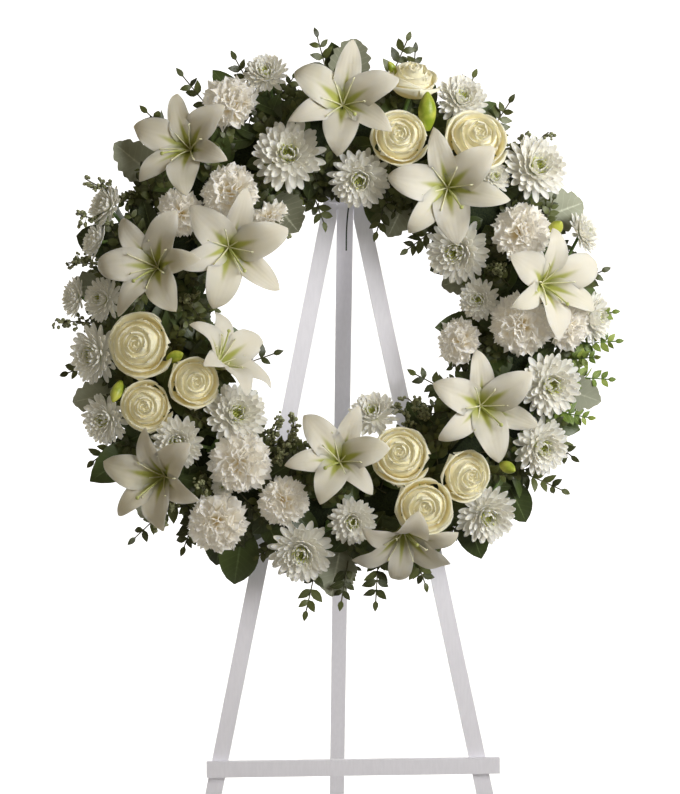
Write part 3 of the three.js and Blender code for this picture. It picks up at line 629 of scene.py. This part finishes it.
def rose_head(size, rng):
    """Petals wound round a bud at the golden angle. Each is a patch of a cup: its radius and height
    follow a cubic curve from the calyx to the rim, it spans an angle that narrows outwards, and its rim
    rolls out more the further out it is."""
    k = size / HEADS["rose"][0]
    count, rows, around = 18, 14, 20
    t = (np.arange(count) / (count - 1))[:, None, None]
    u = np.linspace(0, 1, rows)[None, :, None]
    turn = 2 * np.pi * np.arange(around) / around
    s, up = np.cos(turn)[None, None], -np.sin(turn)[None, None]
    azimuth = 2.4 * np.arange(count)[:, None, None] + rng.uniform(-0.15, 0.15, (count, 1, 1))
    spread = np.radians(112 - 36 * t**0.7) * (0.62 + 0.38 * smooth(u / 0.7)) * (1.002 - u**9) ** 0.5
    full = (1.4 + 25.5 * t**1.1) * rng.uniform(0.97, 1.03, (count, 1, 1))
    rim = 42 + 4 * np.sin(np.pi * t**0.8) - 12 * t**3 + rng.uniform(-0.6, 0.6, (count, 1, 1))
    roll = smooth((t - 0.35) / 0.6)
    b0, b1, b2, b3 = (1 - u) ** 3, 3 * u * (1 - u) ** 2, 3 * u * u * (1 - u), u**3
    belly, mouth = full * (1.02 + 0.12 * roll), full * (0.86 + 0.3 * roll) + 3.5 * roll
    radius = b0 * (2 + 3 * t) + b1 * (full * 1.3 + 3) + b2 * belly + b3 * mouth
    height = b0 * 4 + b1 * (6 - 3 * t) + b2 * (rim * 0.86 + 7 * roll) + b3 * (rim - 3.5 * roll)
    curl = roll * s * s * smooth((u - 0.5) / 0.5) * rng.uniform(0.6, 1.8, (count, 1, 1))
    radius = radius + 1.4 * s * (1 - 0.5 * t) + 1.8 * curl + 0.4 * up
    height = height - 3.0 * curl - 4.0 * s * s * smooth((u - 0.3) / 0.7) * (0.35 + 0.65 * t)
    angle = azimuth + spread * s
    points = np.stack([radius * np.cos(angle), radius * np.sin(angle), height + 0 * angle], axis=-1) * k
    parts = [skin(points, rng.uniform(0, 1, count))]
    parts.append(beads(UP * 20 * k, UP, 25 * k, rows=10, around=16, stretch=0.72))
    angle = spread_round(5, 0.3, 0.1, rng)
    along, face = ray(angle, 0.25)
    root = np.stack([3 * np.cos(angle), 3 * np.sin(angle), 0 * angle + 3], axis=-1) * k
    parts.append(blades(
        root, along, face, 30 * k, 4.2 * k, 0.4, 7, 6, slot=1, bend=lambda u: 0.8 * u,
        outline=lambda u: np.sin(np.pi * (0.15 + 0.85 * u)) + 0.02,
    ))
    parts.append(beads(UP * 2 * k, UP, 6 * k, rows=7, around=12, stretch=0.8, slot=1))
    return parts


def carnation_head(size, rng):
    """Fringed petals in layers from nearly flat to upright, all from the mouth of a long calyx. Each
    widens to a toothed edge and is crimped in waves that grow towards it."""
    k = size / HEADS["carnation"][0]
    parts = []
    for number, (count, elevation, length, half) in enumerate(CARNATION_LAYERS):
        angle = spread_round(count, 0.37 * number, 0.28, rng)
        along, face = ray(angle, np.radians(elevation) + rng.uniform(-0.14, 0.14, count))
        p, q, r = rng.uniform(0, 6.3, (3, count, 1, 1))
        size_up = rng.uniform(0.3, 0.42, (count, 1, 1))
        parts.append(blades(
            UP * 15 * k, along, face, length * k * rng.uniform(0.86, 1.06, count), half * k, 0.3, 6, 26,
            outline=lambda u: 0.16 + 0.84 * smooth(u / 0.85),
            bend=lambda u: (0.5 - 0.9 * u) * 0.35 * (1 - number / 5),
            relief=lambda u, s: size_up * u**1.6 * (np.sin(5.2 * s + p) + 0.4 * np.sin(11 * s + q)),
            fringe=lambda u, s: u**4
            * (-0.16 * s * s + 0.055 * np.cos(13 * np.arccos(s)) + 0.05 * np.sin(7 * s + r)),
            shade=rng.uniform(0, 1, count),
        ))
    calyx = blades(
        np.zeros(3), UP, np.array([1.0, 0, 0]), 19 * k, 6.5 * k, 6.5 * k, 6, 12,
        outline=lambda u: 0.75 + 0.25 * u, solid=True, slot=1,
    )
    return parts + [calyx]


def mum_head(size, rng):
    """Spoon-tipped ray petals in rings, the outer ones long and low and the inner ones short and
    upright, round an eye of small green florets."""
    k = size / HEADS["mum"][0]
    parts = []
    for number, (count, elevation, length, half) in enumerate(MUM_RINGS):
        angle = spread_round(count, 0.21 * number, 0.06, rng)
        along, face = ray(angle, np.radians(elevation) + rng.uniform(-0.07, 0.07, count))
        root = np.stack([3.5 * np.cos(angle), 3.5 * np.sin(angle), 0 * angle + 2 + number], axis=-1) * k
        droop = rng.uniform(-0.35, 0.15, (count, 1)) + 0.1 * number
        parts.append(blades(
            root, along, face, length * k * rng.uniform(0.93, 1.03, count), half * k, 0.35, 7, 6, tight=1.7,
            outline=lambda u: (0.35 + 0.65 * smooth(u / 0.75)) * np.sqrt(np.clip(1.05 - u**6, 0, 1)),
            bend=lambda u: droop * u + 0.5 * u**3,
            relief=lambda u, s: 0.42 * s * s,
            shade=np.clip(rng.uniform(0, 0.6, count) + 0.08 * number, 0, 1),
        ))
    count = 34
    angle, share = 2.4 * np.arange(count), np.sqrt((np.arange(count) + 0.5) / count)
    along, face = ray(angle, np.radians(88 - 32 * share))
    root = np.stack([6 * share * np.cos(angle), 6 * share * np.sin(angle), 9 + 0 * share], axis=-1) * k
    parts.append(blades(
        root, along, face, (8 + 8 * share) * k, 1.4 * k, 0.6 * k, 4, 6, slot=1, bend=lambda u: 0.5 * u,
        outline=lambda u: 0.6 + 0.4 * np.sin(np.pi * u) ** 0.5,
    ))
    parts.append(beads(UP * 1.5 * k, UP, 7 * k, rows=6, around=12, stretch=0.5, slot=2))
    return parts


BUILDERS = {"lily": lily_head, "rose": rose_head, "carnation": carnation_head, "mum": mum_head}
HEAD_FINISHES = {
    "lily": ("lily", "filament", "pistil", "stem"),
    "rose": ("rose", "stem"),
    "carnation": ("carnation", "stem"),
    "mum": ("mum", "eye", "stem"),
}


def spots(kind, heads):
    """Where each head of a stem has its joint, the way it faces, its basis and its size."""
    full, middle, _ = HEADS[kind]
    found = []
    for clock, out, lift, lean, toward, spin, size in heads:
        face = facing(lean, toward)
        joint = place(clock, out, lift) - face * middle * size / full
        side = square_to(outward(spin), face)
        found.append((joint, face, np.array([side, np.cross(face, side), face]), size))
    return found


def flower(kind, heads, seed):
    """The parts of one stem of flowers: its heads, and the stem or the fork and its branches."""
    rng = np.random.default_rng(seed)
    found = spots(kind, heads)
    parts = []
    for joint, _, basis, size in found:
        parts += moved(BUILDERS[kind](size, rng), basis, joint)
    radius, green = HEADS[kind][2], len(HEAD_FINISHES[kind]) - 1
    joints = np.array([joint for joint, _, _, _ in found])
    core = place(np.mean([head[0] for head in heads]), 0, CORE_LIFT)
    aim = unit(joints.mean(axis=0) - core)
    root = core + aim * STEM_START
    fork = core + aim * FORK_REACH if len(heads) > 1 else root
    necks = joints + 2 * np.array([face for _, face, _, _ in found])
    parts.append(tubes(np.broadcast_to(fork, joints.shape), necks, radius, around=8, slot=green))
    if len(heads) > 1:
        parts.append(tubes(root, fork + aim, radius + 0.4, around=8, slot=green))
    return parts


# ---------- greens, in millimetres in the leaning frame ----------


def serrated(u):
    """A broad outline with rounded teeth."""
    teeth = 0.22 * np.abs(np.sin(6.5 * np.pi * u)) + 0.05 * np.sin(31 * u)
    return (np.sin(np.pi * u**0.9) ** 0.6) * (0.82 + teeth) + 0.02


LEAF_FORMS = {
    "broad": dict(rows=9, around=8, outline=lambda u: np.sin(np.pi * u**0.85) ** 0.8 + 0.03),
    "silver": dict(rows=26, around=8, outline=serrated),
    "small": dict(rows=5, around=6, outline=lambda u: np.sin(np.pi * u**0.8) ** 0.95 + 0.04),
}


def leaves(form, root, along, face, length, half, rng, slot=0):
    """Leaves of one form, folded a little at the midrib, each bent over its own amount."""
    count = len(root)
    over, wave = rng.uniform(-0.9, 0.3, (count, 1)), rng.uniform(0, 6.3, (count, 1, 1))
    return blades(
        root, along, face, length, half, 0.35, bend=lambda u: over * u,
        relief=lambda u, s: 0.22 * np.abs(s) + 0.07 * np.sin(8 * u + wave) * s,
        shade=rng.uniform(0, 1, count), slot=slot, **LEAF_FORMS[form],
    )


def tip_leaves(form, table, rng, slot=0):
    """Leaves whose tips are given. Each rises from the side of the bed under it."""
    clock, out, lift, length, half = np.array(table, float).T
    side = np.sign(out)
    tip = place(clock, out, lift)
    root = place(clock + rng.uniform(-5, 5, len(table)), side * BED_SIDE, np.full(len(table), BED_LIFT))
    away = unit(tip - root)
    stalk = tip - away * length[:, None]
    far = np.linalg.norm(tip - root, axis=1) > length
    start = np.where(far[:, None], stalk, root)
    reach = np.linalg.norm(tip - start, axis=1)
    parts = [leaves(form, start, away, FRONT + 0.25 * away, reach, half, rng, slot)]
    parts.append(tubes(root, start + away * 4, 1.1, around=6, slot=1))
    return parts


def twig_ends(table, shift, lift):
    """Roots at the side of the bed, shifted round it by degrees, and the tips that a table gives."""
    clock, out, high = np.array(table, float).T
    root = place(clock + shift, np.sign(out) * BED_SIDE, np.full(len(out), lift))
    return root, place(clock, out, high)


def twigs(root, tip, rng, pairs=4, leaf=23.0, leaf_half=5.8, radius=0.8):
    """Twigs with opposite pairs of small leaves, smaller towards the tip."""
    count = len(root)
    reach = tip - root
    along = unit(reach)
    flat = square_to(np.cross(along, FRONT) + 1e-3, along)
    parts = [tubes(root, root + 0.96 * reach, radius, rows=4, around=6, sag=2.0, slot=1)]
    span = np.linalg.norm(reach, axis=1)
    for pair in range(pairs):
        share = 0.3 + 0.66 * (pair + rng.uniform(-0.15, 0.15, (count, 1))) / pairs
        start = root + reach * share + FRONT * (8 * share * (1 - share))
        for side in (-1, 1):
            roll = rng.uniform(-0.7, 0.7, (count, 1))
            way = along * rng.uniform(0.5, 1.3, (count, 1)) + flat * side + FRONT * roll
            long = leaf * (1.05 - 0.4 * pair / pairs) * rng.uniform(0.8, 1.1, count)
            long = np.minimum(long, span * 0.5)
            face = FRONT - 0.5 * roll * flat * side + rng.normal(0, 0.25, (count, 3))
            parts.append(leaves("small", start, way, face, long, leaf_half * long / leaf, rng))
    end = root + 0.95 * reach
    face = FRONT + rng.normal(0, 0.2, (count, 3))
    parts.append(leaves("small", end, along, face, np.full(count, leaf * 0.6), leaf_half * 0.6, rng))
    return parts


def seed_sprays(table, rng):
    """Thin branching twigs that end in clusters of small round seeds."""
    clock, out, lift = np.array(table, float).T
    count = len(table)
    near = np.where(np.abs(out) > 60, np.sign(out) * BED_SIDE, out * 0.5)
    root = place(clock + rng.uniform(-3, 3, count), near, np.minimum(lift, 34))
    tip = place(clock, out, lift)
    parts = [tubes(root, tip, 0.8, rows=4, around=6, sag=3.0, slot=1)]
    along = unit(tip - root)
    span = np.linalg.norm(tip - root, axis=1)[:, None]
    for _ in range(13):
        share = rng.uniform(0.35, 1.0, (count, 1))
        start = root + (tip - root) * share + FRONT * (12 * share * (1 - share))
        way = unit(along * 0.8 + rng.normal(0, 0.65, (count, 3)) + FRONT * 0.2)
        end = start + way * np.minimum(13 * rng.uniform(0.6, 1.1, (count, 1)), span * 0.3)
        parts.append(tubes(start, end, 0.45, around=4, slot=1))
        for _ in range(5):
            at = start + (end - start) * rng.uniform(0.45, 1.0, (count, 1)) + rng.normal(0, 1.9, (count, 3))
            seed = rng.uniform(1.6, 2.5, count)
            parts.append(beads(at, way, seed, rows=4, stretch=1.2, shade=rng.uniform(0, 1, count)))
    return parts


# share of its size that a head fills, how far above its joint it starts, and the rise of its underside
HEAD_SPREAD = {
    "lily": (0.85, 10, 0.45), "rose": (1.0, 6, 0.1), "carnation": (1.0, 16, 0.1), "mum": (1.0, 3, 0.25),
}


def all_spots():
    """Joint, facing and size of every head, and how far above its joint it spreads."""
    rows = []
    for kind, table in KINDS.items():
        share, low, slope = HEAD_SPREAD[kind]
        for heads in table.values():
            for joint, face, _, size in spots(kind, heads):
                rows.append([*joint, *face, size * share, low * size / HEADS[kind][0], slope])
    return np.array(rows)


def clear_of_heads(points, heads, margin=0.0):
    """True where a point is neither in nor in front of any flower head."""
    joint, face, size, low, slope = heads[:, :3], heads[:, 3:6], heads[:, 6], heads[:, 7], heads[:, 8]
    reach = points[:, None] - joint[None]
    height = np.sum(reach * face, axis=-1)
    away = np.linalg.norm(reach - height[..., None] * face, axis=-1)
    inside = (away < size * 0.95 + margin) & (height > low + slope * away - margin)
    return ~inside.any(axis=1)


def bed_places(count, rng, low, high):
    """Random places over the bed's surface: clock, and an angle round its section from the hole's side
    through the front to the outer side. Returns points, the way out of the bed and the way round it."""
    clock = (np.arange(count) + rng.uniform(0, 1, count)) * 360 / count
    clock = rng.permutation(clock)
    section = np.radians(rng.uniform(low, high, count))
    out, lift = 41 * np.sin(section), CORE_LIFT + 27 * np.cos(section)
    away = outward(clock) * np.sin(section)[:, None] + FRONT * np.cos(section)[:, None]
    return place(clock, out, lift), away, outward(clock + 90), clock, section


def bed_leaves(count, rng, heads, low, high, length, rise, reach=(-92, 106)):
    """Where leaves grow all over the bed, kept where neither middle nor tip runs into a flower: their
    roots, directions, faces and lengths."""
    root, away, across, clock, section = bed_places(count, rng, low, high)
    swing = rng.normal(0, 1.0, (count, 1))
    sideways = outward(clock) * np.sign(np.sin(section))[:, None] * 0.6
    level = square_to(across * swing + sideways + 1e-3, away)
    lift = rng.uniform(*rise, (count, 1)) + 0.45 * np.abs(np.sin(section))[:, None]
    way = unit(level + away * lift)
    long = rng.uniform(*length, count)
    tip, middle = root + way * long[:, None], root + way * long[:, None] * 0.6
    out = np.linalg.norm(tip[:, [0, 2]], axis=1) - RING_RADIUS
    keep = clear_of_heads(tip, heads) & clear_of_heads(middle, heads) & (out > reach[0]) & (out < reach[1])
    keep &= (tip[:, 1] < -4) & (tip[:, 1] > -100)
    face = away + 0.6 * FRONT + rng.normal(0, 0.3, (count, 3))
    return root[keep], way[keep], face[keep], long[keep]


# ---------- the add-on ----------


def colour(name, description, default):
    return bpy.props.FloatVectorProperty(
        name=name, description=description, subtype="COLOR", default=default)


def power(name, description, default):
    return bpy.props.FloatProperty(name=name, description=description, unit="POWER", min=0, default=default)


class FlowerSettings(bpy.types.PropertyGroup):
    """Colours of the flowers and leaves, and how full the bed is."""

    lily: colour("Lily petals", "Colour of a lily petal past its throat", (0.7, 0.66, 0.56))
    rose: colour("Rose petals", "Colour of a rose petal at its rim", (0.87, 0.82, 0.6))
    leaf: colour("Broad leaves", "Lighter colour of the broad leaves", (0.075, 0.11, 0.025))
    fullness: bpy.props.FloatProperty(
        name="Fullness", description="Share of the full number of leaves on the bed",
        subtype="FACTOR", min=0.1, max=1.5, default=1.0)
    seed: bpy.props.IntProperty(
        name="Seed", description="Number that the petals' and leaves' variety starts from",
        min=0, default=26)


class StudioSettings(bpy.types.PropertyGroup):
    """Sizes and strengths of the studio."""

    distance: bpy.props.FloatProperty(
        name="Camera distance", description="From the flowers to the camera",
        subtype="DISTANCE", unit="LENGTH", default=2.4)
    azimuth: bpy.props.FloatProperty(
        name="Camera azimuth", description="Turn of the camera to its left round the wreath",
        subtype="ANGLE", default=math.radians(-2.3))
    key: power("Key light", "Power of the large light on the right", 9.5)
    fill: power("Fill light", "Power of the light on the left", 3)
    sky: bpy.props.FloatProperty(
        name="Sky", description="Strength of the even light from all round", min=0, default=0.15)


class FlowerMaker:
    """Makes every stem of one kind of flower, each with its heads."""

    kind = ""

    def execute(self, context):
        settings = context.scene.wreath_flowers
        for number, (node, heads) in enumerate(KINDS[self.kind].items()):
            parts = flower(self.kind, heads, (settings.seed, len(self.kind), number))
            make_piece(node + "_bloom", parts, HEAD_FINISHES[self.kind], [node])
        return {"FINISHED"}


class WREATH_OT_lily(FlowerMaker, bpy.types.Operator):
    """Makes the lilies of the wreath, each with its stem"""

    bl_idname = "wreath.lily"
    bl_label = "Make lilies"
    kind = "lily"


class WREATH_OT_rose(FlowerMaker, bpy.types.Operator):
    """Makes the roses of the wreath, each with its stem"""

    bl_idname = "wreath.rose"
    bl_label = "Make roses"
    kind = "rose"


class WREATH_OT_carnation(FlowerMaker, bpy.types.Operator):
    """Makes the carnations of the wreath, each with its stem"""

    bl_idname = "wreath.carnation"
    bl_label = "Make carnations"
    kind = "carnation"


class WREATH_OT_mum(FlowerMaker, bpy.types.Operator):
    """Makes the chrysanthemums of the wreath, each spray with its forked stem"""

    bl_idname = "wreath.mum"
    bl_label = "Make chrysanthemums"
    kind = "mum"


# the finish of each node that stays in sight, by the start of its name
WORN = {
    "easel": "wood", "hanging": "steel", "hinge": "steel",
    "foam_tray": "tray", "foam_ring": "foam", "tie": "wire",
}


class WREATH_OT_finishes(bpy.types.Operator):
    """Makes the finishes, and gives the foam, tray, wire, easel and fittings theirs"""

    bl_idname = "wreath.finishes"
    bl_label = "Make finishes"

    def execute(self, context):
        FINISHES.update(make_finishes(context.scene.wreath_flowers))
        for node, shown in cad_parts.items():
            for start, finish in WORN.items():
                if node.startswith(start):
                    shown.data.materials.clear()
                    shown.data.materials.append(FINISHES[finish])
        return {"FINISHED"}


class WREATH_OT_greens(bpy.types.Operator):
    """Makes the leaves, sprigs and seed sprays that fill and fringe the ring"""

    bl_idname = "wreath.greens"
    bl_label = "Make greens"

    def execute(self, context):
        settings = context.scene.wreath_flowers
        rng = np.random.default_rng((settings.seed, 5))
        heads = all_spots()
        sectors = [f"greenery_{i}" for i in range(1, 6)]

        broad = tip_leaves("broad", BROAD_LEAVES, rng)
        count = int(BED_LEAVES * settings.fullness)
        root, way, face, long = bed_leaves(count, rng, heads, -100, 100, (34, 58), (-0.1, 0.5))
        broad.append(leaves("broad", root, way, face, long, 12 * long / np.mean(long), rng))
        make_piece("broad_leaves", broad, ("broad", "stem"), sectors)

        silver = tip_leaves("silver", SILVER_LEAVES, rng)
        make_piece("silver_leaves", silver, ("silver", "stem"))

        root, tip = twig_ends(SPRIGS, rng.uniform(-4, 4, len(SPRIGS)), BED_LIFT)
        sprigs = twigs(root, tip, rng)
        count = int(BED_SPRIGS * settings.fullness)
        root, way, _, long = bed_leaves(count, rng, heads, -95, 95, (38, 58), (0.1, 0.9))
        sprigs += twigs(root, root + way * long[:, None], rng, leaf=17.0, leaf_half=4.8)
        make_piece("leafy_sprigs", sprigs, ("small", "twig"))

        root, tip = twig_ends(BRIGHT_TWIGS, 2, 32)
        bright = twigs(root, tip, rng, pairs=5, leaf=19.0, leaf_half=5.0)
        make_piece("bright_twigs", bright, ("bright", "stem"))

        seeds = seed_sprays(SEED_SPRAYS, rng)
        make_piece("seed_sprays", seeds, ("seed", "twig"))
        return {"FINISHED"}


class WREATH_OT_buds(bpy.types.Operator):
    """Makes the closed lily buds among the flowers"""

    bl_idname = "wreath.buds"
    bl_label = "Make lily buds"

    def execute(self, context):
        rng = np.random.default_rng((context.scene.wreath_flowers.seed, 9))
        clock, out, lift, lean, toward, length, radius = np.array(LILY_BUDS, float).T
        way = facing(lean, toward)
        tip = place(clock, out, lift)
        root = tip - way * length[:, None]
        side = np.broadcast_to(outward(clock + 90), way.shape)
        parts = [blades(
            root, way, side, length, radius, radius, 18, 24, solid=True, shade=rng.uniform(0, 1, len(root)),
            outline=lambda u: np.sin(np.pi * (0.1 + 0.88 * u) ** 1.1) ** 0.8 + 0.02,
        )]
        foot = place(clock, out * 0.6, np.full(len(clock), 50.0))
        parts.append(tubes(foot, root + way * 2, 1.5, around=8, slot=1))
        make_piece("lily_buds", parts, ("bud", "stem"))
        return {"FINISHED"}


def studio_floor(scene):
    """A level floor that turns up behind the object in a quarter circle and goes on as a wall. It glows
    from the object's own place backwards."""
    level, bend, wall, front = 8.0, 2.0, 3.0, 5.0
    across, share = np.meshgrid(np.linspace(-6, 6, 13), np.linspace(0, 1, 25), indexing="ij")
    run = share * (level + bend * np.pi / 2 + wall)
    turn = np.clip((run - level) / bend, 0, np.pi / 2)
    y = np.minimum(run, level) + bend * np.sin(turn) - front
    z = bend * (1 - np.cos(turn)) + np.maximum(run - level - bend * np.pi / 2, 0)
    cols = across.shape[1]
    corner = (np.arange(across.shape[0] - 1)[:, None] * cols + np.arange(cols - 1)).ravel()
    faces = np.stack([corner, corner + cols, corner + cols + 1, corner + 1], axis=1)
    mesh = bpy.data.meshes.new("studio_floor")
    mesh.from_pydata(np.stack([across, y, z], axis=-1).reshape(-1, 3).tolist(), [], faces.tolist())
    mesh.polygons.foreach_set("use_smooth", np.ones(len(faces), bool))
    paint = Finish("studio_white")
    back = paint.start.node("ShaderNodeSeparateXYZ", inputs={"Vector": paint.place}, output="Y")
    glow = back.between(0.3, 0.8).mix((0, 0, 0), (1, 1, 1))
    mesh.materials.append(paint.set(
        Base_Color=(0.8, 0.8, 0.8), Roughness=0.8, Emission_Color=glow, Emission_Strength=1.0))
    floor = bpy.data.objects.new("studio_floor", mesh)
    scene.collection.objects.link(floor)


def lamp(scene, name, at, aim, size, watts, spread, tint):
    """A round area light that shines from one place towards another, over a spread in degrees."""
    light = bpy.data.lights.new(name, "AREA")
    light.shape = "DISK"
    light.size = size
    light.energy = watts
    light.spread = math.radians(spread)
    light.color = tint
    held = bpy.data.objects.new(name, light)
    scene.collection.objects.link(held)
    held.location = at
    held.rotation_euler = Vector(np.array(aim) - at).to_track_quat("-Z", "Y").to_euler()


def set_sky(scene, strength):
    """An even light from all round."""
    scene.world = scene.world or bpy.data.worlds.new("studio_sky")
    scene.world.use_nodes = True
    sky = scene.world.node_tree.nodes["Background"]
    sky.inputs["Color"].default_value = (*WARM, 1)
    sky.inputs["Strength"].default_value = strength


def set_camera(scene, distance, swing):
    """Looks square at the plane of the flowers, turned round the wreath by swing radians."""
    camera = bpy.data.objects.new("camera", bpy.data.cameras.new("camera"))
    scene.collection.objects.link(camera)
    target = TURN @ np.array(VIEW_MIDDLE) * MM + CENTRE
    back = TURN @ np.array([math.sin(swing), -math.cos(swing), 0])
    camera.location = target + back * distance
    camera.rotation_euler = Vector(-back).to_track_quat("-Z", "Y").to_euler()
    camera.data.sensor_fit = "VERTICAL"
    camera.data.sensor_height = SENSOR
    camera.data.lens = SENSOR * distance / VIEW_HEIGHT
    scene.camera = camera


class WREATH_OT_stage(bpy.types.Operator):
    """Sets the pale floor, the soft lights and the camera"""

    bl_idname = "wreath.stage"
    bl_label = "Set the stage"

    def execute(self, context):
        scene, studio = context.scene, context.scene.wreath_studio
        scene.view_settings.view_transform = "Standard"
        studio_floor(scene)
        lamp(scene, "key_light", (1.35, -1.35, 1.75), (0.45, -0.2, 1.28), 1.2, studio.key, 80, WHITE)
        lamp(scene, "fill_light", (-2.5, -2.5, 2.3), CENTRE, 1.8, studio.fill, 180, WARM)
        set_sky(scene, studio.sky)
        set_camera(scene, studio.distance, studio.azimuth)
        return {"FINISHED"}


class WREATH_PT_panel(bpy.types.Panel):
    """Lists the wreath's settings and makers"""

    bl_label = "Wreath"
    bl_idname = "WREATH_PT_panel"
    bl_space_type = "VIEW_3D"
    bl_region_type = "UI"
    bl_category = "Wreath"

    def draw(self, context):
        for group in (context.scene.wreath_flowers, context.scene.wreath_studio):
            for key in group.bl_rna.properties.keys():
                if key not in ("rna_type", "name"):
                    self.layout.prop(group, key)
        for operator in OPERATORS:
            self.layout.operator(operator.bl_idname)


OPERATORS = [
    WREATH_OT_finishes,
    WREATH_OT_lily, WREATH_OT_rose, WREATH_OT_carnation, WREATH_OT_mum,
    WREATH_OT_buds, WREATH_OT_greens, WREATH_OT_stage,
]
CLASSES = [FlowerSettings, StudioSettings, *OPERATORS, WREATH_PT_panel]


def register():
    for cls in CLASSES:
        bpy.utils.register_class(cls)
    bpy.types.Scene.wreath_flowers = bpy.props.PointerProperty(type=FlowerSettings)
    bpy.types.Scene.wreath_studio = bpy.props.PointerProperty(type=StudioSettings)


def unregister():
    del bpy.types.Scene.wreath_flowers, bpy.types.Scene.wreath_studio
    for cls in reversed(CLASSES):
        bpy.utils.unregister_class(cls)


def main():
    register()
    for operator in OPERATORS:
        getattr(bpy.ops.wreath, operator.bl_idname.split(".")[1])()


if __name__ == "__main__":
    main()
